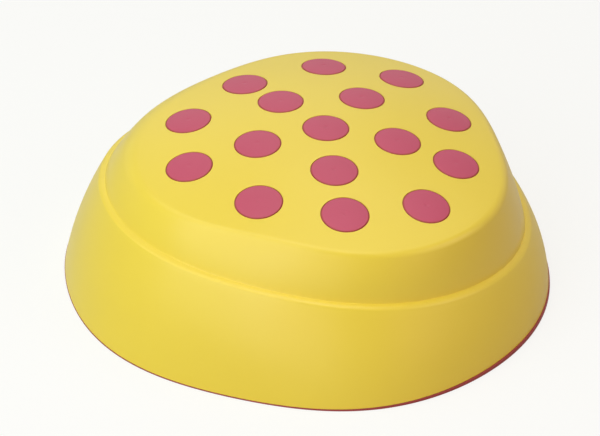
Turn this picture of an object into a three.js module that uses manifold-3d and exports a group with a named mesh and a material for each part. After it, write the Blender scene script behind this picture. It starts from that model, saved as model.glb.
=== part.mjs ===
// A children's balance stepping stone in millimetres, +Z up. It stands on Z = 0 with the middle of its
// footprint at the origin, and its front faces -Y. A hollow plastic shell in two tiers rises from a
// rounded-triangle foot, through a slanted ledge, to a domed deck. A soft rim clips round the shell's
// bottom edge, and sixteen soft grip dots plug into the deck.

import * as THREE from 'three';
import Module from 'manifold-3d';
import { mergeVertices } from 'three/addons/utils/BufferGeometryUtils.js';

const wasm = await Module();
wasm.setup();

// Foot outline: the outside of the plastic wall, carried down to the ground
const footRadius = 191.1;
const footCornerShare = 0.03;
const footFlatShare = -0.007;
const footTurn = 72.3;

// Ledge outline, with its centre measured from the foot's centre
const ledgeCentreX = 6.9;
const ledgeCentreY = 5.2;
const ledgeRadius = 166.9;
const ledgeCornerShare = 0.033;
const ledgeFlatShare = -0.004;
const ledgeTurn = 73.3;

// The ledge lies in one slanted plane, falling to the right and to the back
const ledgeHeight = 64.1;
const ledgeFallRight = 5.8;
const ledgeFallBack = 4.63;
const ledgeWidth = 4.5;
const ledgeEdgeRound = 2.2;

// Deck outline, where the upper wall would meet the dome without the rounding
const deckCentreX = 10.2;
const deckCentreY = -4.1;
const deckRadius = 141.5;
const deckCornerShare = 0.057;
const deckFlatShare = -0.007;
const deckOvalShare = 0.015;
const deckOvalTurn = 10;
const deckTurn = 70.3;
const deckEdgeRound = 4.5;

// The deck is part of a large sphere, whose top leans a little to the front left
const domeRadius = 595;
const apexHeight = 124.2;
const apexX = -9.9;
const apexY = -12.6;

// Walls of the shell
const wall = 3.5;
const lowerWallBulge = 3.4;
const upperWallBulge = 1.4;
const fitGap = 0.3;
const cutOverrun = 5;

// Ribs under the deck
const ribThickness = 2.2;
const ribDepth = 5;
const ribReach = 30;
const ribStart = 20;
const ribRingRadius = 78;

// Soft rim: a channel whose short outer leg lies in a rebate of the wall
const rimHeight = 1.3;
const rimProud = 0.6;
const rimFloor = 0.8;
const rimRebate = 1;
const rimInnerLeg = 2;
const rimInnerHeight = 9;
const rimEdgeRound = 0.5;
const beadHeight = 6;
const beadHalf = 1.1;
const beadDepth = 0.8;

// Grip dots: a head in its pocket, a stem through the deck and a lock flange under it
const dotRadius = 18;
const dotProud = 0.8;
const dotEdgeRound = 0.7;
const pocketDepth = 1.2;
const stemRadius = 7;
const lockRadius = 10.5;
const lockThickness = 1.8;
const lockChamfer = 0.6;

// Places of the dots: one in the middle, a ring of five and a ring of ten that follows the triangle
const dotCentreX = 10.65;
const dotCentreY = -2.7;
const innerDotRing = 55;
const innerDotAngles = [59.4, 131.5, 202, 276.3, 348.1];
const innerDotReachShares = [1.025, 0.955, 1.015, 0.985, 1.015];
const outerDotRing = 105.2;
const outerDotAngles = [17.8, 56.1, 90.4, 131.5, 169.6, 202.7, 240.7, 277.4, 310.8, 342.7];
const outerDotReachShares = [0.96, 1.05, 0.995, 0.91, 1.025, 1.06, 0.97, 0.975, 1.07, 0.98];

// Fineness of the facets
const cornerCount = 3;
const outlineSteps = 48;
const roundSteps = 16;
const stemSteps = 8;
const ribRingSteps = 24;
const outerDetail = { wallRows: 4, edgeRows: 3, domeShares: [0.72, 0.36] };
const innerDetail = { wallRows: 2, edgeRows: 2, domeShares: [0.5] };

const plasticMaterial = { color: '#e8cc58', roughness: 0.42, metalness: 0 };
const softMaterial = { color: '#c5566e', roughness: 0.6, metalness: 0 };

const radians = THREE.MathUtils.degToRad;

const footOutline = {
  x: 0,
  y: 0,
  radius: footRadius,
  cornerShare: footCornerShare,
  flatShare: footFlatShare,
  ovalShare: 0,
  turn: radians(footTurn),
  ovalTurn: 0,
};

const ledgeOutline = {
  x: ledgeCentreX,
  y: ledgeCentreY,
  radius: ledgeRadius,
  cornerShare: ledgeCornerShare,
  flatShare: ledgeFlatShare,
  ovalShare: 0,
  turn: radians(ledgeTurn),
  ovalTurn: 0,
};

const deckOutline = {
  x: deckCentreX,
  y: deckCentreY,
  radius: deckRadius,
  cornerShare: deckCornerShare,
  flatShare: deckFlatShare,
  ovalShare: deckOvalShare,
  turn: radians(deckTurn),
  ovalTurn: radians(deckOvalTurn),
};

// A point of a rounded-triangle outline in plan, set in from it by a distance
function outlinePoint(outline, angle, inset) {
  const fromCorner = angle - outline.turn;
  const corners = outline.cornerShare * Math.cos(cornerCount * fromCorner);
  const flats = outline.flatShare * Math.cos(2 * cornerCount * fromCorner);
  const oval = outline.ovalShare * Math.cos(2 * (angle - outline.ovalTurn));
  const reach = outline.radius * (1 + corners + flats + oval) - inset;
  return new THREE.Vector3(
    outline.x + reach * Math.cos(angle),
    outline.y + reach * Math.sin(angle),
    0,
  );
}

// Lifts a plan point onto the ledge's plane, or onto the plane that lies a depth below it
function ontoLedge(point, depth) {
  const fall = point.x * Math.tan(radians(ledgeFallRight)) + point.y * Math.tan(radians(ledgeFallBack));
  return new THREE.Vector3(point.x, point.y, ledgeHeight - fall - depth);
}

// Lifts a plan point onto the deck's sphere, or onto the sphere that lies a depth below it
function ontoDome(point, depth) {
  const reach = Math.hypot(point.x - apexX, point.y - apexY);
  const centreHeight = apexHeight - domeRadius;
  return new THREE.Vector3(point.x, point.y, centreHeight + Math.sqrt((domeRadius - depth) ** 2 - reach ** 2));
}

function mix(from, to, share) {
  return new THREE.Vector3().lerpVectors(from, to, share);
}

// Moves a point by a distance towards another
function step(from, towards, distance) {
  return mix(from, towards, distance / from.distanceTo(towards));
}

// A quadratic arc from one point to another, drawn towards a corner
function arc(from, corner, to, share) {
  return mix(mix(from, corner, share), mix(corner, to, share), share);
}

// Moves a point outwards in plan, most in the middle of the wall and nothing at its ends
function bulged(point, angle, share, bulge) {
  const swell = 4 * bulge * share * (1 - share);
  return point.add(new THREE.Vector3(swell * Math.cos(angle), swell * Math.sin(angle), 0));
}

// A point of the lower wall at a share of its height
function lowerWallPoint(angle, share, inset) {
  const low = outlinePoint(footOutline, angle, inset);
  const high = ontoLedge(outlinePoint(ledgeOutline, angle, inset), inset);
  return bulged(mix(low, high, share), angle, share, lowerWallBulge);
}

// The share of the lower wall's height that reaches a height above the ground
function lowerWallShare(angle, height, inset) {
  return height / ontoLedge(outlinePoint(ledgeOutline, angle, inset), inset).z;
}

// One ring of points round the stone, from a function of the angle
function ring(pointAt, steps = outlineSteps) {
  return Array.from({ length: steps }, (_, index) => pointAt((index / steps) * 2 * Math.PI));
}

// A level ring on the lower wall
function wallRing(height, inset) {
  return ring((angle) => lowerWallPoint(angle, lowerWallShare(angle, height, inset), inset));
}

function shares(count) {
  return Array.from({ length: count }, (_, index) => (index + 1) / count);
}

// Rings of the lower wall above a level start, ending at the rounding under the ledge's edge
function lowerWallRings(startHeight, inset, detail) {
  return shares(detail.wallRows).map((share) => ring((angle) => {
    const start = lowerWallShare(angle, startHeight, inset);
    const length = lowerWallPoint(angle, 0, inset).distanceTo(lowerWallPoint(angle, 1, inset));
    const end = 1 - ledgeEdgeRound / length;
    return lowerWallPoint(angle, THREE.MathUtils.lerp(start, end, share), inset);
  }));
}

// Rings of the ledge: its rounded outer edge, then its inner corner
function ledgeRings(inset, detail) {
  const inner = (angle) => ontoLedge(outlinePoint(ledgeOutline, angle, inset + ledgeWidth), inset);
  const edge = shares(detail.edgeRows).map((share) => ring((angle) => {
    const corner = lowerWallPoint(angle, 1, inset);
    const below = step(corner, lowerWallPoint(angle, 0, inset), ledgeEdgeRound);
    const beside = step(corner, inner(angle), ledgeEdgeRound);
    return arc(below, corner, beside, share);
  }));
  return [...edge, ring(inner)];
}

// The three points that shape the deck's rounded edge at an angle: on the wall, the corner, on the dome
function deckEdge(angle, inset) {
  const foot = ontoLedge(outlinePoint(ledgeOutline, angle, inset + ledgeWidth), inset);
  const corner = ontoDome(outlinePoint(deckOutline, angle, inset), inset);
  return {
    foot,
    below: step(corner, foot, deckEdgeRound),
    corner,
    beside: ontoDome(outlinePoint(deckOutline, angle, inset + deckEdgeRound), inset),
  };
}

function upperWallRings(inset, detail) {
  return shares(detail.wallRows).map((share) => ring((angle) => {
    const edge = deckEdge(angle, inset);
    return bulged(mix(edge.foot, edge.below, share), angle, share, upperWallBulge);
  }));
}

function deckEdgeRings(inset, detail) {
  return shares(detail.edgeRows).map((share) => ring((angle) => {
    const edge = deckEdge(angle, inset);
    return arc(edge.below, edge.corner, edge.beside, share);
  }));
}

// Rings of the dome inside its rounded edge, each with half as many points as the one outside it
function domeRings(inset, detail) {
  const centre = new THREE.Vector3(deckCentreX, deckCentreY, 0);
  return detail.domeShares.map((share, index) => ring((angle) => {
    const edge = outlinePoint(deckOutline, angle, inset + deckEdgeRound);
    return ontoDome(mix(centre, edge, share), inset);
  }, outlineSteps / 2 ** (index + 1)));
}

// All the rings of a skin from a level start up to the dome
function skinRings(startHeight, inset, detail) {
  return [
    ...lowerWallRings(startHeight, inset, detail),
    ...ledgeRings(inset, detail),
    ...upperWallRings(inset, detail),
    ...deckEdgeRings(inset, detail),
    ...domeRings(inset, detail),
  ];
}

function geometryFrom(points, indices) {
  const geometry = new THREE.BufferGeometry();
  const positions = points.flatMap((point) => [point.x, point.y, point.z]);
  geometry.setAttribute('position', new THREE.Float32BufferAttribute(positions, 3));
  geometry.setIndex(indices);
  return geometry;
}

// The triangles that join a ring to the next, which has as many points or half as many. Both run
// anticlockwise, and the band faces outwards when the second ring is the higher.
function bandIndices(low, high) {
  const indices = [];
  const ratio = low.count / high.count;
  for (let index = 0; index < low.count; index += 1) {
    const next = (index + 1) % low.count;
    const above = Math.ceil(index / ratio) % high.count;
    indices.push(low.start + index, low.start + next, high.start + above);
  }
  for (let index = 0; index < high.count; index += 1) {
    const next = (index + 1) % high.count;
    const below = Math.ceil((index + 0.5) * ratio) % low.count;
    indices.push(low.start + below, high.start + next, high.start + index);
  }
  return indices;
}

// Where each ring's points start and how many it has, once the rings lie one after another
function spans(rings) {
  let start = 0;
  return rings.map((points) => {
    const span = { start, count: points.length };
    start += points.length;
    return span;
  });
}

// A closed solid from rings stacked upwards, capped by a point in the middle of each end
function stackedSolid(rings, lowCentre, highCentre) {
  const rows = spans(rings);
  const points = [...rings.flat(), lowCentre, highCentre];
  const lowTip = points.length - 2;
  const highTip = points.length - 1;
  const bottom = rows[0];
  const top = rows[rows.length - 1];
  const indices = rows.slice(1).flatMap((row, index) => bandIndices(rows[index], row));
  for (let index = 0; index < bottom.count; index += 1) {
    indices.push(lowTip, bottom.start + ((index + 1) % bottom.count), bottom.start + index);
  }
  for (let index = 0; index < top.count; index += 1) {
    indices.push(highTip, top.start + index, top.start + ((index + 1) % top.count));
  }
  return geometryFrom(points, indices);
}

// A closed loop solid whose section is the list of rings taken in turn
function loopSolid(rings) {
  const rows = spans(rings);
  const indices = rows.flatMap((row, index) => bandIndices(row, rows[(index + 1) % rows.length]));
  return geometryFrom(rings.flat(), indices);
}

function solid(geometry) {
  const bare = geometry.clone();
  bare.deleteAttribute('normal');
  bare.deleteAttribute('uv');
  const merged = mergeVertices(bare);
  return new wasm.Manifold(new wasm.Mesh({
    numProp: 3,
    vertProperties: new Float32Array(merged.attributes.position.array),
    triVerts: new Uint32Array(merged.index.array),
  }));
}

function geometryOf(manifold) {
  const mesh = manifold.getMesh();
  const geometry = new THREE.BufferGeometry();
  geometry.setAttribute('position', new THREE.Float32BufferAttribute(mesh.vertProperties, mesh.numProp));
  geometry.setIndex(new THREE.Uint32BufferAttribute(mesh.triVerts, 1));
  return geometry;
}

function joined(solids) {
  return solids.reduce((whole, piece) => whole.add(piece));
}

// The stone's height at the middle of the deck, on a skin set in by a depth
function deckCentre(inset) {
  return ontoDome(new THREE.Vector3(deckCentreX, deckCentreY, 0), inset);
}

const shellBase = rimFloor + fitGap;
const rebateTop = rimHeight + fitGap;

// The shell as if it were solid, with the rebate for the rim round its bottom edge
function outerSolid() {
  const rings = [
    wallRing(shellBase, rimRebate),
    wallRing(rebateTop, rimRebate),
    wallRing(rebateTop, 0),
    ...skinRings(rebateTop, 0, outerDetail),
  ];
  return solid(stackedSolid(rings, new THREE.Vector3(0, 0, shellBase), deckCentre(0)));
}

// The room inside the shell, with the groove for the rim's bead
function hollowGeometry() {
  const low = shellBase - cutOverrun;
  const rings = [
    wallRing(low, wall),
    wallRing(beadHeight - beadHalf, wall),
    wallRing(beadHeight, wall - beadDepth),
    wallRing(beadHeight + beadHalf, wall),
    ...skinRings(beadHeight + beadHalf, wall, innerDetail),
  ];
  return stackedSolid(rings, new THREE.Vector3(0, 0, low), deckCentre(wall));
}

const ribTop = apexHeight + cutOverrun;
const ribLow = apexHeight - ribReach;

// An upright ring rib round the middle dot
function ringRib(radius) {
  const shape = new THREE.Shape();
  shape.absarc(0, 0, radius + ribThickness / 2, 0, 2 * Math.PI);
  const bore = new THREE.Path();
  bore.absarc(0, 0, radius - ribThickness / 2, 0, 2 * Math.PI, true);
  shape.holes.push(bore);
  const geometry = new THREE.ExtrudeGeometry(shape, {
    depth: ribTop - ribLow,
    bevelEnabled: false,
    curveSegments: ribRingSteps,
  });
  return solid(geometry.translate(dotCentreX, dotCentreY, ribLow));
}

// An upright rib running outwards from the middle dot
function spokeRib(angle, from, to) {
  const geometry = new THREE.BoxGeometry(to - from, ribThickness, ribTop - ribLow);
  geometry.translate((from + to) / 2, 0, (ribTop + ribLow) / 2);
  geometry.rotateZ(angle);
  return solid(geometry.translate(dotCentreX, dotCentreY, 0));
}

// The angle half way between each dot of a ring and the next
function anglesBetween(angles) {
  return angles.map((angle, index) => {
    const next = angles[(index + 1) % angles.length];
    const gap = THREE.MathUtils.euclideanModulo(next - angle, 360);
    return radians(angle + gap / 2);
  });
}

function ribs() {
  const innerSpokes = anglesBetween(innerDotAngles).map((angle) => spokeRib(angle, ribStart, ribRingRadius));
  const outerSpokes = anglesBetween(outerDotAngles).map((angle) => spokeRib(angle, ribRingRadius, footRadius));
  return joined([ringRib(ribRingRadius), ...innerSpokes, ...outerSpokes]);
}

// Where each dot sits, in plan from the foot's centre
function dotPlace(angleDegrees, reach) {
  const angle = radians(angleDegrees);
  return new THREE.Vector3(
    dotCentreX + reach * Math.cos(angle),
    dotCentreY + reach * Math.sin(angle),
    0,
  );
}

const dotPlaces = [
  { name: 'grip_dot_center', place: dotPlace(0, 0) },
  ...innerDotAngles.map((angle, index) => ({
    name: `grip_dot_inner_${index + 1}`,
    place: dotPlace(angle, innerDotRing * innerDotReachShares[index]),
  })),
  ...outerDotAngles.map((angle, index) => ({
    name: `grip_dot_outer_${index + 1}`,
    place: dotPlace(angle, outerDotRing * outerDotReachShares[index]),
  })),
];

// A turned profile of (radius, height) pairs, stood on +Z
function turned(profile, steps) {
  const points = profile.map(([radius, height]) => new THREE.Vector2(radius, height));
  return new THREE.LatheGeometry(points, steps).rotateX(Math.PI / 2);
}

// The position on the deck and the turn that stands +Z square to the dome there
function deckFrame(place) {
  const position = ontoDome(place, 0);
  const centre = new THREE.Vector3(apexX, apexY, apexHeight - domeRadius);
  const normal = position.clone().sub(centre).normalize();
  const turn = new THREE.Quaternion().setFromUnitVectors(new THREE.Vector3(0, 0, 1), normal);
  return { position, turn };
}

// The pocket, through hole and flat seat under the deck for one dot, as the solid that cuts them
function dotCutter(place) {
  const pocket = turned([
    [0, -pocketDepth],
    [dotRadius + fitGap, -pocketDepth],
    [dotRadius + fitGap, cutOverrun],
    [0, cutOverrun],
  ], roundSteps);
  const hole = turned([
    [0, -wall - cutOverrun],
    [lockRadius + fitGap, -wall - cutOverrun],
    [lockRadius + fitGap, -wall],
    [stemRadius + fitGap, -wall],
    [stemRadius + fitGap, 0],
    [0, 0],
  ], stemSteps);
  const { position, turn } = deckFrame(place);
  const placed = (geometry) => geometry.applyQuaternion(turn).translate(position.x, position.y, position.z);
  return joined([solid(placed(pocket)), solid(placed(hole))]);
}

// How far the dome falls away from its tangent plane at a reach
function domeFall(reach) {
  return domeRadius - Math.sqrt(domeRadius ** 2 - reach ** 2);
}

// One grip dot, crowned to run a constant height above the dome
function dotGeometry() {
  const headLow = fitGap - pocketDepth;
  const lockTop = -wall - fitGap;
  const lockLow = lockTop - lockThickness;
  const shoulder = dotRadius - dotEdgeRound;
  const head = turned([
    [0, headLow],
    [dotRadius, headLow],
    [dotRadius, dotProud - dotEdgeRound - domeFall(dotRadius)],
    [shoulder, dotProud - domeFall(shoulder)],
    [0, dotProud],
  ], roundSteps);
  const plug = turned([
    [0, lockLow],
    [lockRadius - lockChamfer, lockLow],
    [lockRadius, lockLow + lockChamfer],
    [lockRadius, lockTop],
    [stemRadius, lockTop],
    [stemRadius, 0],
    [0, 0],
  ], stemSteps);
  return geometryOf(joined([solid(head), solid(plug)]));
}

function shellGeometry() {
  const hollow = hollowGeometry();
  const belowRibs = solid(hollow.clone().translate(0, 0, -ribDepth));
  const hollowWithRibs = solid(hollow).subtract(ribs().subtract(belowRibs));
  const cutters = dotPlaces.map(({ place }) => dotCutter(place));
  return geometryOf(outerSolid().subtract(hollowWithRibs).subtract(joined(cutters)));
}

// The rim's section, taken round from its outer bottom corner: outer leg, channel, bead and inner leg
function rimGeometry() {
  const channelOuter = rimRebate - fitGap;
  const channelInner = wall + fitGap;
  const back = channelInner + rimInnerLeg;
  const beadBack = channelInner - beadDepth;
  return loopSolid([
    wallRing(0, rimEdgeRound - rimProud),
    wallRing(rimEdgeRound, -rimProud),
    wallRing(rimHeight - rimEdgeRound, -rimProud),
    wallRing(rimHeight, rimEdgeRound - rimProud),
    wallRing(rimHeight, channelOuter),
    wallRing(rimFloor, channelOuter),
    wallRing(rimFloor, channelInner),
    wallRing(beadHeight - beadHalf, channelInner),
    wallRing(beadHeight, beadBack),
    wallRing(beadHeight + beadHalf, channelInner),
    wallRing(rimInnerHeight, channelInner),
    wallRing(rimInnerHeight, back),
    wallRing(0, back),
  ]);
}

function namedMesh(name, geometry, material) {
  const mesh = new THREE.Mesh(geometry, new THREE.MeshStandardMaterial(material));
  mesh.name = name;
  return mesh;
}

function gripDot({ name, place }) {
  const dot = namedMesh(name, dotGeometry(), softMaterial);
  const { position, turn } = deckFrame(place);
  dot.position.copy(position);
  dot.quaternion.copy(turn);
  return dot;
}

// The middle of the footprint's box, in plan from the foot's centre
function footprintCentre() {
  const box = new THREE.Box3().setFromPoints(wallRing(rimEdgeRound, -rimProud));
  return box.getCenter(new THREE.Vector3());
}

const stone = new THREE.Group();
stone.add(namedMesh('stone_shell', shellGeometry(), plasticMaterial));
stone.add(namedMesh('base_rim', rimGeometry(), softMaterial));
dotPlaces.forEach((dot) => stone.add(gripDot(dot)));

const middle = footprintCentre();
stone.position.set(-middle.x, -middle.y, 0);

export default stone;
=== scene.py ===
"""Kids balance stepping stone: fine surfaces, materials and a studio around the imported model.

Sizes are in millimetres and turns in degrees, from 0 at the stone's right to 90 at its back. Plan
positions are measured from PLAN_ORIGIN, until make_object() turns them into metres in the part's
frame. A focus says how narrow a place on the stone is: the higher, the narrower.
"""

import math

import bpy
import numpy as np
from mathutils import Matrix, Vector


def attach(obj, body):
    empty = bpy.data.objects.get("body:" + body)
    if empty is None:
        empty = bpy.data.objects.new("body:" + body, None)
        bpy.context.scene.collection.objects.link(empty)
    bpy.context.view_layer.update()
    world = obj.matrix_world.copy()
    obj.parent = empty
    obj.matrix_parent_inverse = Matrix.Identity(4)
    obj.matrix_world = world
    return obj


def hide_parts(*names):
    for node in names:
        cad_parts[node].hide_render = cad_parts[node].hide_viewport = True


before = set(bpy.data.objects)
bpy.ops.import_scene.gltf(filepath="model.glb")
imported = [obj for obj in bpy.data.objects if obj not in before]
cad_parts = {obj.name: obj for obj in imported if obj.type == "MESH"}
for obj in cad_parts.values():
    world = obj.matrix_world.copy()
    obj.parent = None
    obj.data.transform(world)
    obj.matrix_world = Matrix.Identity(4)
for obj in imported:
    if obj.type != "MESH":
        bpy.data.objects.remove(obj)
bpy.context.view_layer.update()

MM = 0.001

# The point that plan positions are measured from, in the part's frame
PLAN_ORIGIN = (4.017, -2.88)

# Rounded-triangle outlines in plan: a radius with shares of three lobes, of six and of an oval
FOOT = {"x": -0.4, "y": 0, "radius": 191.1, "corner": 0.03, "flat": -0.007, "oval": 0,
        "turn": 72.3, "oval_turn": 0}
LEDGE = {"x": 6.9, "y": 5.2, "radius": 166.9, "corner": 0.033, "flat": -0.004, "oval": 0,
         "turn": 73.3, "oval_turn": 0}
DECK = {"x": 10.2, "y": -4.1, "radius": 141.5, "corner": 0.057, "flat": -0.007, "oval": 0.015,
        "turn": 70.3, "oval_turn": 10}

# The ledge: a plane that falls by these degrees to the right and to the back
LEDGE_HEIGHT = 64.1
LEDGE_FALL_RIGHT = 5.8
LEDGE_FALL_BACK = 4.63
LEDGE_WIDTH = 4.2
LEDGE_FILLET = 0.4
# How far the rounding of its outer edge reaches, a little more at the front right
LEDGE_ROUND = 2.6
LEDGE_ROUND_LEAN = 0.4
LEDGE_ROUND_TURN = 330
# How far its outer edge lies below that plane, most at the front left
LEDGE_SHED = 0.7
LEDGE_SHED_LEAN = 0.6
LEDGE_SHED_TURN = 215

# The deck: part of a sphere, highest at the apex
DOME_RADIUS = 595
APEX = (-9.9, -12.6, 124.2)
DECK_CENTRE = np.array([DECK["x"], DECK["y"]])
# How far the rounding of its edge reaches, and what is added to that at the left and at the right
DECK_ROUND = 2.6
DECK_ROUND_LEFT = 9
DECK_LEFT_TURN = 160
DECK_LEFT_FOCUS = 8
DECK_ROUND_RIGHT = 2.6
DECK_RIGHT_TURN = 0
DECK_RIGHT_FOCUS = 3
# The depth in the wall at which the edge would be sharp
DECK_SHARP_DEPTH = 10.4
# The distance between the two points that give the dome's slope at its edge
DOME_PROBE = 1

# The wall's thickness, and how far it swells outwards below and above the ledge
WALL = 3.5
LOWER_BULGE = 3.4
UPPER_BULGE = 1.4

# The soft rim round the bottom edge, and the rebate that takes it
RIM_GAP = 0.15
RIM_FLOOR = 0.8
RIM_REBATE = 1
RIM_INNER_LEG = 2
RIM_INNER_HEIGHT = 9
RIM_UNDERCUT = 0.8
RIM_ROUND = 0.4
RIM_ROUND_STEPS = 6
RIM_HEIGHT = 1.15
RIM_PROUD = 0.24
# How much taller and prouder the rim is at the front right
RIM_RISE = 2.1
RIM_SWELL = 0.9
RIM_SWELL_TURN = -33
RIM_SWELL_FOCUS = 8
# The bead on its inner leg, and the lowest level of the shell
BEAD_HEIGHT = 6
BEAD_HALF = 1.1
BEAD_DEPTH = 0.8
SHELL_BASE = RIM_FLOOR + RIM_GAP

# Ribs under the deck: how deep they are, and how far below the apex they may reach
RIB_THICKNESS = 2.2
RIB_DEPTH = 5
RIB_REACH = 30
RIB_START = 20
RIB_RING = 78

# A grip dot's head: its top counts from the deck, and its crown and rounded edge are radii
DOT_RADIUS = 17.5
DOT_TOP = 1.1
DOT_CROWN = 140
DOT_ROUND = 0.45
DOT_ROUND_STEPS = 7
# The width of its border, which takes a deeper red as painted shade for the dark outline round the
# head, and the reach of the rows inside it
DOT_BORDER = 0.75
DOT_CROWN_REACH = 15.25
DOT_CROWN_STEPS = 8
# The dimple in its middle, with a profile in shares of its radius and depth
DIMPLE_RADIUS = 1.3
DIMPLE_DEPTH = 0.12
DIMPLE_PROFILE = [(0.8, 0.7), (0.5, 1), (0, 1)]
# The seam round the head, and how far below the deck the shoulder in it lies
DOT_SEAM = 0.6
DOT_SHOULDER = 0.6
# The pocket, the stem through the deck and the lock flange under it
DOT_GAP = 0.12
POCKET_DEPTH = 2
STEM_RADIUS = 7
LOCK_RADIUS = 10.5
LOCK_THICKNESS = 1.8
LOCK_CHAMFER = 0.6

# Two rings of dots round the middle one: each ring's radius, and each dot's turn and share of it
DOT_CENTRE = (10.65, -2.7)
INNER_RING = 55
INNER_TURNS = [59.4, 131.5, 202, 276.3, 348.1]
INNER_SHARES = [1.025, 0.955, 1.015, 0.985, 1.015]
OUTER_RING = 105.2
OUTER_TURNS = [17.8, 56.1, 90.4, 131.5, 169.6, 202.7, 240.7, 277.4, 310.8, 342.7]
OUTER_SHARES = [0.96, 1.05, 0.995, 0.91, 1.025, 1.06, 0.97, 0.975, 1.07, 0.98]

# How far a solid that cuts or is cut runs past the other
OVERRUN = 5

# How finely the surfaces are divided: round the stone, round a dot, and from row to row of a skin
STEPS = 288
DOT_STEPS = 96
OUTER_ROWS = {"wall": 20, "edge": 8, "fillet": 5, "deck_edge": 12, "dome": 30}
INNER_ROWS = {"wall": 8, "edge": 3, "fillet": 2, "deck_edge": 5, "dome": 14}

# Edges at which two faces meet at more than this stay sharp
SHARP_TURN = 32


# Lines and surfaces of the stone


def turn_angles(steps=STEPS):
    return np.arange(steps) * 2 * math.pi / steps


def leaning(angles, turn):
    """One at a turn, and minus one opposite it."""
    return np.cos(angles - math.radians(turn))


def nearness(angles, turn, focus):
    """One at a turn, falling off to nothing opposite it."""
    return (0.5 + 0.5 * leaning(angles, turn)) ** focus


def outline(spec, angles, inset=0.0):
    """Points of a rounded-triangle outline in plan, set in from it by a distance."""
    from_corner = angles - math.radians(spec["turn"])
    from_oval = angles - math.radians(spec["oval_turn"])
    reach = spec["radius"] * (
        1
        + spec["corner"] * np.cos(3 * from_corner)
        + spec["flat"] * np.cos(6 * from_corner)
        + spec["oval"] * np.cos(2 * from_oval)
    ) - inset
    return np.stack([spec["x"] + reach * np.cos(angles), spec["y"] + reach * np.sin(angles)], -1)


def lift(plan, height):
    """Plan points raised to one height, or each to its own."""
    return np.concatenate([plan, np.broadcast_to(height, plan.shape[:-1])[..., None]], -1)


def onto_ledge(plan, depth=0.0):
    """Plan points raised to the ledge's plane, or to a depth below it."""
    fall = (plan[..., 0] * math.tan(math.radians(LEDGE_FALL_RIGHT))
            + plan[..., 1] * math.tan(math.radians(LEDGE_FALL_BACK)))
    return lift(plan, LEDGE_HEIGHT - fall - depth)


def onto_dome(plan, depth=0.0):
    """Plan points raised to the deck's dome, or to a depth inside it."""
    reach = np.hypot(plan[..., 0] - APEX[0], plan[..., 1] - APEX[1])
    return lift(plan, APEX[2] - DOME_RADIUS + np.sqrt((DOME_RADIUS - depth) ** 2 - reach ** 2))


def mix(start, end, share):
    """Points part of the way from start to end, by one share or by one for each point."""
    share = np.asarray(share, float)
    if share.ndim == 1:
        share = share[:, None]
    return start + (end - start) * share


def unit(vectors):
    return vectors / np.linalg.norm(vectors, axis=-1, keepdims=True)


def outwards(angles):
    return np.stack([np.cos(angles), np.sin(angles), np.zeros_like(angles)], -1)


def bulged_line(low, high, angles, bulge, share):
    """Points and their upward directions on a wall that swells outwards between its two ends.

    The swell is a parabola, which reaches the bulge half way up."""
    share = np.broadcast_to(np.asarray(share, float), angles.shape)
    out = outwards(angles)
    point = mix(low, high, share) + out * (4 * bulge * share * (1 - share))[:, None]
    direction = unit((high - low) + out * (4 * bulge * (1 - 2 * share))[:, None])
    return point, direction


def meeting(point_a, along_a, point_b, along_b):
    """The middle of the shortest stretch between two lines, for each pair."""
    between = point_b - point_a
    dot = np.sum(along_a * along_b, -1)
    gap_a = np.sum(between * along_a, -1)
    gap_b = np.sum(between * along_b, -1)
    scale = 1 - dot ** 2
    far_a = (gap_a - dot * gap_b) / scale
    far_b = (dot * gap_a - gap_b) / scale
    return (point_a + along_a * far_a[:, None] + point_b + along_b * far_b[:, None]) / 2


def rounding(start, along_start, end, along_end, count):
    """Rows of a smooth rounding that leaves its start and reaches its end along two directions."""
    corner = meeting(start, along_start, end, along_end)
    shares = np.arange(1, count + 1) / count
    return [mix(mix(start, corner, share), mix(corner, end, share), share) for share in shares]


def lower_wall(angles, share, inset):
    """Points and their upward directions on the lower wall, or on a surface inside it."""
    low = lift(outline(FOOT, angles, inset), 0.0)
    high = onto_ledge(outline(LEDGE, angles, inset), inset)
    return bulged_line(low, high, angles, LOWER_BULGE, share)


def wall_ring(height, inset):
    """A ring on the lower wall, at one height or at one for each turn."""
    angles = turn_angles()
    top = onto_ledge(outline(LEDGE, angles, inset), inset)[:, 2]
    return lower_wall(angles, height / top, inset)[0]


def ledge_round_at(angles):
    return LEDGE_ROUND + LEDGE_ROUND_LEAN * leaning(angles, LEDGE_ROUND_TURN)


def ledge_shed_at(angles):
    return LEDGE_SHED + LEDGE_SHED_LEAN * leaning(angles, LEDGE_SHED_TURN)


def deck_round_at(angles, inset):
    """How far the rounding of the deck's edge reaches, less the deeper in the wall."""
    reach = (DECK_ROUND + DECK_ROUND_LEFT * nearness(angles, DECK_LEFT_TURN, DECK_LEFT_FOCUS)
             + DECK_ROUND_RIGHT * nearness(angles, DECK_RIGHT_TURN, DECK_RIGHT_FOCUS))
    return reach * (1 - inset / DECK_SHARP_DEPTH)


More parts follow.
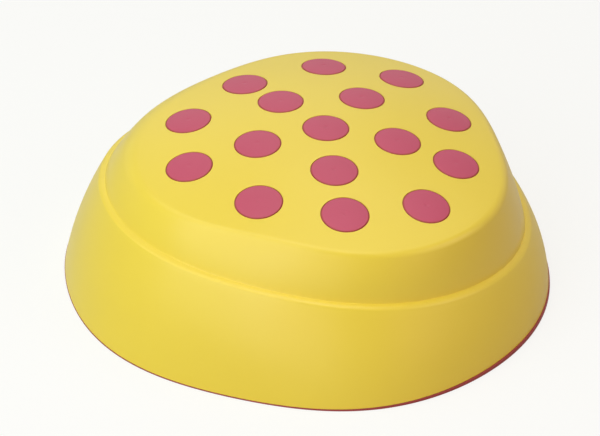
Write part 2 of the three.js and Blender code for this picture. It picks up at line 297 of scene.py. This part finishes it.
def skin(start_height, inset, rows):
    """Rings of one skin of the shell, from a start on the lower wall up to the deck's middle.

    The inset is the skin's depth in the wall. The start and the middle themselves are left out."""
    angles = turn_angles()
    top = onto_ledge(outline(LEDGE, angles, inset), inset)
    length = np.linalg.norm(top - lift(outline(FOOT, angles, inset), 0.0), axis=-1)
    start = start_height / top[:, 2]
    ledge_round = ledge_round_at(angles)
    end = 1 - ledge_round / length
    wall_shares = np.arange(1, rows["wall"] + 1) / rows["wall"]
    rings = [lower_wall(angles, start + (end - start) * share, inset)[0] for share in wall_shares]

    # The ledge: a rounded outer edge, the slanted step, and a small fillet at its inner corner
    edge, edge_along = lower_wall(angles, end, inset)
    inner = onto_ledge(outline(LEDGE, angles, inset + LEDGE_WIDTH), inset)
    outer = onto_ledge(outline(LEDGE, angles, inset), inset + ledge_shed_at(angles))
    inwards = unit(inner - outer)
    beside = outer + inwards * ledge_round[:, None]
    rings += rounding(edge, edge_along, beside, -inwards, rows["edge"])
    corner = onto_dome(outline(DECK, angles, inset), inset)
    height = np.linalg.norm(corner - inner, axis=-1)
    rings.append(inner - inwards * LEDGE_FILLET)
    low, low_along = bulged_line(inner, corner, angles, UPPER_BULGE, LEDGE_FILLET / height)
    rings += rounding(rings[-1], inwards, low, -low_along, rows["fillet"])

    # The upper wall, and the rounded edge of the deck
    deck_round = deck_round_at(angles, inset)
    start = LEDGE_FILLET / height
    end = 1 - deck_round / height
    for share in wall_shares:
        place = start + (end - start) * share
        rings.append(bulged_line(inner, corner, angles, UPPER_BULGE, place)[0])
    below, below_along = bulged_line(inner, corner, angles, UPPER_BULGE, end)
    plan = outline(DECK, angles, inset + deck_round)
    beside = onto_dome(plan, inset)
    nearby = onto_dome(outline(DECK, angles, inset + deck_round + DOME_PROBE), inset)
    rings += rounding(below, below_along, beside, unit(beside - nearby), rows["deck_edge"])

    # The dome, in rings that shrink towards the middle of the deck
    for share in np.arange(rows["dome"] - 1, 0, -1) / rows["dome"]:
        rings.append(onto_dome(DECK_CENTRE + (plan - DECK_CENTRE) * share, inset))
    return rings


# Parts, each a pair of points and faces that make a closed solid


def band(low, high, count):
    """The faces between two rings, given the index at which each ring starts."""
    faces = []
    for index in range(count):
        after = (index + 1) % count
        faces.append((low + index, low + after, high + after, high + index))
    return faces


def stacked(rings, low_tip, high_tip):
    """A solid from rings stacked upwards, capped at both ends."""
    count = len(rings[0])
    top = (len(rings) - 1) * count
    low_index, high_index = top + count, top + count + 1
    faces = []
    for start in range(0, top, count):
        faces += band(start, start + count, count)
    for index in range(count):
        after = (index + 1) % count
        faces.append((low_index, after, index))
        faces.append((high_index, top + index, top + after))
    return np.concatenate([*rings, [low_tip], [high_tip]]), faces


def looped(rings):
    """A closed loop whose section is the list of rings taken in turn."""
    count = len(rings[0])
    total = len(rings) * count
    faces = []
    for start in range(0, total, count):
        faces += band(start, (start + count) % total, count)
    return np.concatenate(rings), faces


def circle(radius, height):
    angles = turn_angles(DOT_STEPS)
    return lift(np.stack([radius * np.cos(angles), radius * np.sin(angles)], -1), height)


def turned(profile):
    """A solid turned about Z from (radius, height) pairs, axis to axis."""
    rings = [circle(radius, height) for radius, height in profile[1:-1]]
    return stacked(rings, (0, 0, profile[0][1]), (0, 0, profile[-1][1]))


def block(start, end, width, low, high):
    """An upright box that runs outwards from the axis along X."""
    plan = [(start, -width / 2), (end, -width / 2), (end, width / 2), (start, width / 2)]
    ring = np.array(plan, float)
    faces = [(3, 2, 1, 0), (4, 5, 6, 7)] + band(0, 4, 4)
    return np.concatenate([lift(ring, low), lift(ring, high)]), faces


def joined(parts):
    """One part from several."""
    points, faces, start = [], [], 0
    for part_points, part_faces in parts:
        points.append(part_points)
        faces += [tuple(index + start for index in face) for face in part_faces]
        start += len(part_points)
    return np.concatenate(points), faces


def make_object(name, part):
    """A mesh object in metres in the part's frame."""
    points, faces = part
    placed = (np.asarray(points) + (*PLAN_ORIGIN, 0)) * MM
    mesh = bpy.data.meshes.new(name)
    mesh.from_pydata(placed.tolist(), [], faces)
    mesh.validate()
    obj = bpy.data.objects.new(name, mesh)
    bpy.context.scene.collection.objects.link(obj)
    return obj


def boolean(obj, operation, other):
    """Joins or cuts an object by another, which is used up."""
    modifier = obj.modifiers.new("boolean", "BOOLEAN")
    modifier.operation = operation
    modifier.solver = "EXACT"
    modifier.object = other
    graph = bpy.context.evaluated_depsgraph_get()
    mesh = bpy.data.meshes.new_from_object(obj.evaluated_get(graph))
    obj.modifiers.clear()
    obj.data = mesh
    mesh.name = obj.name
    bpy.data.objects.remove(other)


def smooth(obj):
    obj.data.polygons.foreach_set("use_smooth", [True] * len(obj.data.polygons))
    obj.data.set_sharp_from_angle(angle=math.radians(SHARP_TURN))


# Grip dots


def dot_places():
    """The place of each dot in plan, by the name of the node that it stands for."""
    places = {"grip_dot_center": np.array(DOT_CENTRE)}
    for ring, radius, turns, shares in [
        ("inner", INNER_RING, INNER_TURNS, INNER_SHARES),
        ("outer", OUTER_RING, OUTER_TURNS, OUTER_SHARES),
    ]:
        for number, (turn, share) in enumerate(zip(turns, shares), 1):
            angle = math.radians(turn)
            offset = radius * share * np.array([math.cos(angle), math.sin(angle)])
            places[f"grip_dot_{ring}_{number}"] = DOT_CENTRE + offset
    return places


def on_deck(part, plan):
    """Stands a part square to the dome at a place on the deck."""
    points, faces = part
    position = onto_dome(plan)
    normal = Vector(position - np.array([APEX[0], APEX[1], APEX[2] - DOME_RADIUS])).normalized()
    turn = np.array(Vector((0, 0, 1)).rotation_difference(normal).to_matrix())
    return points @ turn.T + position, faces


def dot_cutter():
    """What a dot takes out of the shell: its pocket, the stem's hole and room for the lock."""
    pocket = DOT_RADIUS + DOT_SEAM
    hole = STEM_RADIUS + DOT_GAP
    lock = LOCK_RADIUS + DOT_GAP
    return turned([
        (0, -WALL - OVERRUN), (lock, -WALL - OVERRUN), (lock, -WALL), (hole, -WALL),
        (hole, -POCKET_DEPTH), (pocket, -POCKET_DEPTH), (pocket, OVERRUN), (0, OVERRUN),
    ])


def grip_dot():
    """One dot: a lock flange, a stem, a shoulder that fills the pocket, and a crowned head.

    The head has a rounded edge and a small dimple in its middle."""
    head_low = DOT_GAP - POCKET_DEPTH
    lock_top = -WALL - DOT_GAP
    lock_low = lock_top - LOCK_THICKNESS
    shoulder = DOT_RADIUS + DOT_SEAM - DOT_GAP
    dome_fall = DOME_RADIUS - math.sqrt(DOME_RADIUS ** 2 - shoulder ** 2)
    shoulder_top = -DOT_SHOULDER - dome_fall
    profile = [
        (0, lock_low), (LOCK_RADIUS - LOCK_CHAMFER, lock_low),
        (LOCK_RADIUS, lock_low + LOCK_CHAMFER), (LOCK_RADIUS, lock_top),
        (STEM_RADIUS, lock_top), (STEM_RADIUS, head_low),
        (shoulder, head_low), (shoulder, shoulder_top), (DOT_RADIUS, shoulder_top),
    ]
    crown_centre = DOT_TOP - DOT_CROWN
    edge_reach = DOT_RADIUS - DOT_ROUND
    edge_height = crown_centre + math.sqrt((DOT_CROWN - DOT_ROUND) ** 2 - edge_reach ** 2)
    slope = math.asin(edge_reach / (DOT_CROWN - DOT_ROUND))
    for lean in np.linspace(0, math.pi / 2 - slope, DOT_ROUND_STEPS):
        profile.append((edge_reach + DOT_ROUND * math.cos(lean),
                        edge_height + DOT_ROUND * math.sin(lean)))
    rows = np.linspace(DOT_CROWN_REACH, DIMPLE_RADIUS, DOT_CROWN_STEPS)
    for reach in [DOT_RADIUS - DOT_BORDER, *rows]:
        profile.append((reach, crown_centre + math.sqrt(DOT_CROWN ** 2 - reach ** 2)))
    for reach, depth in DIMPLE_PROFILE:
        profile.append((DIMPLE_RADIUS * reach, DOT_TOP - DIMPLE_DEPTH * depth))
    return turned(profile)


# The shell, its ribs and the rim


def round_rim(base, more):
    """A measure of the rim all round, which is greater at the front right."""
    return base + more * nearness(turn_angles(), RIM_SWELL_TURN, RIM_SWELL_FOCUS)


def outer_solid():
    """The stone's outside, with the rebate for the rim's outer leg."""
    rebate_top = round_rim(RIM_HEIGHT, RIM_RISE) + RIM_GAP
    rings = [
        wall_ring(SHELL_BASE, RIM_REBATE),
        wall_ring(rebate_top, RIM_REBATE),
        wall_ring(rebate_top, 0),
    ]
    rings += skin(rebate_top, 0, OUTER_ROWS)
    return stacked(rings, (0, 0, SHELL_BASE), onto_dome(DECK_CENTRE))


def hollow_solid(depth=0.0):
    """The room inside the shell, with the groove for the rim's bead, lowered by a depth."""
    low = SHELL_BASE - OVERRUN
    rings = [
        wall_ring(low, WALL),
        wall_ring(BEAD_HEIGHT - BEAD_HALF, WALL),
        wall_ring(BEAD_HEIGHT, WALL - BEAD_DEPTH),
        wall_ring(BEAD_HEIGHT + BEAD_HALF, WALL),
    ]
    rings += skin(BEAD_HEIGHT + BEAD_HALF, WALL, INNER_ROWS)
    points, faces = stacked(rings, (0, 0, low), onto_dome(DECK_CENTRE, WALL))
    return points - (0, 0, depth), faces


def middle_solid():
    """A solid whose surface lies half way through the wall."""
    low = SHELL_BASE + OVERRUN
    rings = [wall_ring(low, WALL / 2), *skin(low, WALL / 2, INNER_ROWS)]
    return stacked(rings, (0, 0, low), onto_dome(DECK_CENTRE, WALL / 2))


def about_dots(part, turn=0.0):
    """Turns a part about Z, and moves it under the middle dot."""
    points, faces = part
    angle = math.radians(turn)
    cos, sin = math.cos(angle), math.sin(angle)
    matrix = np.array([[cos, -sin, 0], [sin, cos, 0], [0, 0, 1]])
    return points @ matrix.T + (*DOT_CENTRE, 0), faces


def rib_tube(low, high):
    """The ring rib, an upright tube."""
    outside = RIB_RING + RIB_THICKNESS / 2
    inside = RIB_RING - RIB_THICKNESS / 2
    corners = [(outside, low), (outside, high), (inside, high), (inside, low)]
    return looped([circle(radius, height) for radius, height in corners])


def halfway(turns):
    """The turns half way between each dot of a ring and the next."""
    return [turn + ((after - turn) % 360) / 2 for turn, after in zip(turns, turns[1:] + turns[:1])]


def make_ribs():
    """A ring rib and spokes between the dots, from the rib's depth up to the wall's middle."""
    low, high = APEX[2] - RIB_REACH, APEX[2] + OVERRUN
    ribs = make_object("ribs", about_dots(rib_tube(low, high)))
    for start, end, turns in [
        (RIB_START, RIB_RING, INNER_TURNS),
        (RIB_RING, FOOT["radius"], OUTER_TURNS),
    ]:
        for turn in halfway(turns):
            spoke = about_dots(block(start, end, RIB_THICKNESS, low, high), turn)
            boolean(ribs, "UNION", make_object("spoke", spoke))
    boolean(ribs, "DIFFERENCE", make_object("lowered", hollow_solid(RIB_DEPTH)))
    boolean(ribs, "INTERSECT", make_object("middle", middle_solid()))
    return ribs


def make_shell(places):
    shell = make_object("shell_surface", outer_solid())
    boolean(shell, "DIFFERENCE", make_object("hollow", hollow_solid()))
    boolean(shell, "UNION", make_ribs())
    cutters = joined([on_deck(dot_cutter(), plan) for plan in places])
    boolean(shell, "DIFFERENCE", make_object("cutters", cutters))
    smooth(shell)
    return shell


def make_rim():
    """The soft rim: outer leg, channel, bead and inner leg."""
    outer = RIM_REBATE - RIM_GAP
    inner = WALL + RIM_GAP
    back = inner + RIM_INNER_LEG
    bead = inner - BEAD_DEPTH
    proud = round_rim(RIM_PROUD, RIM_SWELL)
    high = round_rim(RIM_HEIGHT, RIM_RISE)
    leans = np.linspace(0, math.pi / 2, RIM_ROUND_STEPS)
    lower = [
        (RIM_UNDERCUT * (1 - math.cos(lean)), RIM_UNDERCUT * (1 - math.sin(lean)) - proud)
        for lean in leans
    ]
    upper = [
        (high - RIM_ROUND * (1 - math.sin(lean)), RIM_ROUND * (1 - math.cos(lean)) - proud)
        for lean in leans
    ]
    rest = [
        (high, outer), (RIM_FLOOR, outer), (RIM_FLOOR, inner), (BEAD_HEIGHT - BEAD_HALF, inner),
        (BEAD_HEIGHT, bead), (BEAD_HEIGHT + BEAD_HALF, inner), (RIM_INNER_HEIGHT, inner),
        (RIM_INNER_HEIGHT, back), (0, back),
    ]
    rings = [wall_ring(height, inset) for height, inset in lower + upper + rest]
    rim = make_object("rim_surface", looped(rings))
    smooth(rim)
    return rim


# Materials

# A slow noise that changes the colour and the gloss, and the stretch of it over which they change
CLOUD = {"Scale": 9.0, "Detail": 3.0, "Roughness": 0.55}
CLOUD_LOW = 0.3
CLOUD_HIGH = 0.7
GLOSS_SPREAD = 0.03
# A fine noise that gives the grain, and the grain's height in metres
SPECK = {"Detail": 2.0, "Roughness": 0.6}
GRAIN_HEIGHT = 0.0002


def node(tree, kind, **values):
    """A node with the given values, each for an input or, failing that, a property."""
    made = tree.nodes.new(kind)
    for key, value in values.items():
        if key in made.inputs:
            made.inputs[key].default_value = value
        else:
            setattr(made, key, value)
    return made


def link(tree, source, output, target, entry):
    tree.links.new(source.outputs[output], target.inputs[entry])


def linear(red, green, blue):
    """A linear colour from sRGB values of 11 to 255."""
    return (*[((c / 255 + 0.055) / 1.055) ** 2.4 for c in (red, green, blue)], 1.0)


def moulded(name, colour, deep, roughness, grain, relief):
    """A moulded plastic or rubber: slight cloudiness, a fine grain, and uneven gloss."""
    material = bpy.data.materials.new(name)
    material.use_nodes = True
    tree = material.node_tree
    shader = tree.nodes["Principled BSDF"]
    place = node(tree, "ShaderNodeTexCoord")
    cloud = node(tree, "ShaderNodeTexNoise", **CLOUD)
    link(tree, place, "Object", cloud, "Vector")
    ramp = node(tree, "ShaderNodeValToRGB")
    stops = ramp.color_ramp.elements
    for stop, position, shade in [(stops[0], CLOUD_LOW, deep), (stops[1], CLOUD_HIGH, colour)]:
        stop.position = position
        stop.color = linear(*shade)
    link(tree, cloud, "Fac", ramp, "Fac")
    link(tree, ramp, "Color", shader, "Base Color")
    speck = node(tree, "ShaderNodeTexNoise", Scale=grain, **SPECK)
    link(tree, place, "Object", speck, "Vector")
    bump = node(tree, "ShaderNodeBump", Strength=relief, Distance=GRAIN_HEIGHT)
    link(tree, speck, "Fac", bump, "Height")
    link(tree, bump, "Normal", shader, "Normal")
    gloss = node(tree, "ShaderNodeMapRange", **{
        "From Min": CLOUD_LOW, "From Max": CLOUD_HIGH,
        "To Min": roughness - GLOSS_SPREAD, "To Max": roughness + GLOSS_SPREAD,
    })
    link(tree, cloud, "Fac", gloss, "Value")
    link(tree, gloss, "Result", shader, "Roughness")
    return material


plastic = moulded("satin_plastic", colour=(249, 222, 70), deep=(248, 220, 67),
                  roughness=0.31, grain=900, relief=0.1)
# A deeper red for each dot's border and shoulder: painted shade, standing in for the dark outline
# round the head and the shade in its seam
painted_shade_rubber = moulded("soft_grip_painted_shade", colour=(180, 70, 72), deep=(176, 68, 69),
                      roughness=0.52, grain=700, relief=0.2)
dot_rubber = moulded("soft_grip", colour=(199, 75, 105), deep=(196, 72, 101),
                     roughness=0.45, grain=700, relief=0.2)
rim_rubber = moulded("soft_rim", colour=(158, 54, 50), deep=(153, 52, 48),
                     roughness=0.5, grain=700, relief=0.15)


def paint_border_shade(dot, plan):
    """Paints the border of a dot's head, and the shoulder round it, a deeper red: painted shade for
    the dark outline round the head and the shade in its seam.
    """
    middle = Vector((onto_dome(plan) + (*PLAN_ORIGIN, 0)) * MM)
    dot.data.materials.append(painted_shade_rubber)
    for face in dot.data.polygons:
        if (middle - face.center).length > (DOT_RADIUS - DOT_BORDER) * MM:
            face.material_index = 1


# The pieces


def finish_piece(obj, material, slot, *nodes):
    obj.data.materials.clear()
    obj.data.materials.append(material)
    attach(obj, "root")
    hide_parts(*nodes)


dots = dot_places()
finish_piece(make_shell(dots.values()), plastic, "shell_plastic", "stone_shell")
finish_piece(make_rim(), rim_rubber, "rim_rubber", "base_rim")
for name, plan in dots.items():
    dot = make_object(name.replace("grip_dot", "dot_surface"), on_deck(grip_dot(), plan))
    smooth(dot)
    finish_piece(dot, dot_rubber, "dot_rubber", name)
    # Painted shade: each dot's border and shoulder take the deeper red
    paint_border_shade(dot, plan)


# Studio, in metres

# How much of the white floor and world a reflection shows
FLOOR_GLOSS_SHARE = 0.2
WORLD_GLOSS_SHARE = 1

# The floor as the lamps light it, and as the camera sees it: a shade that takes shadows, and a glow
FLOOR_HALF = 6
FLOOR_COLOUR = (0.7, 0.7, 0.69, 1)
FLOOR_SHADE = (0.2, 0.2, 0.2, 1)
FLOOR_GLOW = (1, 1, 0.975, 1)
FLOOR_GLOW_STRENGTH = 0.8

# The world as it lights the stone, and as the camera sees it
WORLD_LIGHT = (1, 1, 1, 1)
WORLD_LIGHT_STRENGTH = 0.02
WORLD_SHOWN = (1, 1, 0.98, 1)
WORLD_SHOWN_STRENGTH = 0.98

# Lamps: name, azimuth (0 in front of the stone, 90 at its right), elevation, power, colour, size
LAMP_TARGET = (0, 0, 0.06)
LAMP_DISTANCE = 2.2
LAMPS = [
    ("top", 0, 88, 11.5, (1, 1.02, 0.98), (1.2, 1.2)),
    ("key", -45, 27, 10.3, (0.97, 1.02, 1.01), (1.9, 0.9)),
    ("high_key", -45, 50, 9.5, (0.98, 1.02, 1), (1.6, 1)),
    ("low_key", -45, 10, 3.1, (0.93, 1.05, 1.02), (1.6, 0.5)),
    ("front", -15, 12, 4.5, (1.09, 0.91, 1), (1.2, 1.2)),
    ("left", -75, 35, 2, (0.92, 1.07, 1), (1.2, 1.2)),
    ("high_left", -110, 60, 6.7, (0.97, 1.03, 1), (1.2, 1.2)),
    ("right", 75, 35, 6.8, (1.2, 0.89, 0.9), (1.2, 1.2)),
    ("low_right", 45, 12, 2, (1.45, 0.72, 0.85), (1.2, 1.2)),
    ("back", 160, 60, 4.8, (1.01, 1.03, 0.96), (1.2, 1.2)),
    ("low_back", -172, 35, 2.4, (1.08, 0.99, 0.93), (1.2, 1.2)),
]

CAMERA_LENS = 134.63
CAMERA_SENSOR = 36
CAMERA_PLACE = (-0.00496, -1.42888, 1.08221)
CAMERA_TILT = 53.74
CAMERA_ROLL = 0.08


def white_share(tree, in_gloss):
    """How much of the white a ray meets: all where it is seen, and a share in reflections."""
    rays = node(tree, "ShaderNodeLightPath")
    direct = node(tree, "ShaderNodeMath", operation="MAXIMUM")
    link(tree, rays, "Is Camera Ray", direct, 0)
    link(tree, rays, "Is Transmission Ray", direct, 1)
    share = node(tree, "ShaderNodeMath", operation="MULTIPLY_ADD")
    link(tree, rays, "Is Glossy Ray", share, 0)
    share.inputs[1].default_value = in_gloss
    link(tree, direct, 0, share, 2)
    return share


def pick_by_ray(tree, in_gloss, lighting, shown, out):
    """Gives most rays what lights the stone, and those that meet the white what is shown."""
    pick = node(tree, "ShaderNodeMixShader")
    link(tree, white_share(tree, in_gloss), 0, pick, 0)
    link(tree, lighting, 0, pick, 1)
    link(tree, shown, 0, pick, 2)
    link(tree, pick, 0, out, 0)


def make_floor():
    half = FLOOR_HALF
    corners = [(-half, -half, 0), (half, -half, 0), (half, half, 0), (-half, half, 0)]
    mesh = bpy.data.meshes.new("floor")
    mesh.from_pydata(corners, [], [(0, 1, 2, 3)])
    floor = bpy.data.objects.new("floor", mesh)
    bpy.context.scene.collection.objects.link(floor)
    material = bpy.data.materials.new("floor")
    material.use_nodes = True
    tree = material.node_tree
    tree.nodes.clear()
    out = node(tree, "ShaderNodeOutputMaterial")
    pale = node(tree, "ShaderNodeBsdfDiffuse", Color=FLOOR_COLOUR)
    shade = node(tree, "ShaderNodeBsdfDiffuse", Color=FLOOR_SHADE)
    glow = node(tree, "ShaderNodeEmission", Color=FLOOR_GLOW, Strength=FLOOR_GLOW_STRENGTH)
    both = node(tree, "ShaderNodeAddShader")
    link(tree, shade, 0, both, 0)
    link(tree, glow, 0, both, 1)
    pick_by_ray(tree, FLOOR_GLOSS_SHARE, pale, both, out)
    floor.data.materials.append(material)


def make_world():
    world = bpy.data.worlds.new("studio")
    bpy.context.scene.world = world
    world.use_nodes = True
    tree = world.node_tree
    tree.nodes.clear()
    out = node(tree, "ShaderNodeOutputWorld")
    light = node(tree, "ShaderNodeBackground", Color=WORLD_LIGHT, Strength=WORLD_LIGHT_STRENGTH)
    shown = node(tree, "ShaderNodeBackground", Color=WORLD_SHOWN, Strength=WORLD_SHOWN_STRENGTH)
    pick_by_ray(tree, WORLD_GLOSS_SHARE, light, shown, out)


def make_lamp(name, azimuth, elevation, power, colour, size):
    """An area lamp aimed at the stone."""
    lamp = bpy.data.lights.new(name, "AREA")
    lamp.shape = "RECTANGLE"
    lamp.size, lamp.size_y = size
    lamp.energy = power
    lamp.color = colour
    obj = bpy.data.objects.new(name, lamp)
    turn, rise = math.radians(azimuth), math.radians(elevation)
    back = Vector((
        math.sin(turn) * math.cos(rise), -math.cos(turn) * math.cos(rise), math.sin(rise),
    ))
    obj.location = Vector(LAMP_TARGET) + back * LAMP_DISTANCE
    obj.rotation_euler = back.to_track_quat("Z", "Y").to_euler()
    bpy.context.scene.collection.objects.link(obj)


def make_camera():
    lens = bpy.data.cameras.new("camera")
    lens.lens = CAMERA_LENS
    lens.sensor_width = CAMERA_SENSOR
    camera = bpy.data.objects.new("camera", lens)
    camera.location = CAMERA_PLACE
    tilt = Matrix.Rotation(math.radians(CAMERA_TILT), 4, "X")
    roll = Matrix.Rotation(math.radians(CAMERA_ROLL), 4, "Z")
    camera.rotation_euler = (tilt @ roll).to_euler()
    bpy.context.scene.collection.objects.link(camera)
    bpy.context.scene.camera = camera


make_floor()
make_world()
for lamp in LAMPS:
    make_lamp(*lamp)
make_camera()
bpy.context.scene.view_settings.view_transform = "Standard"
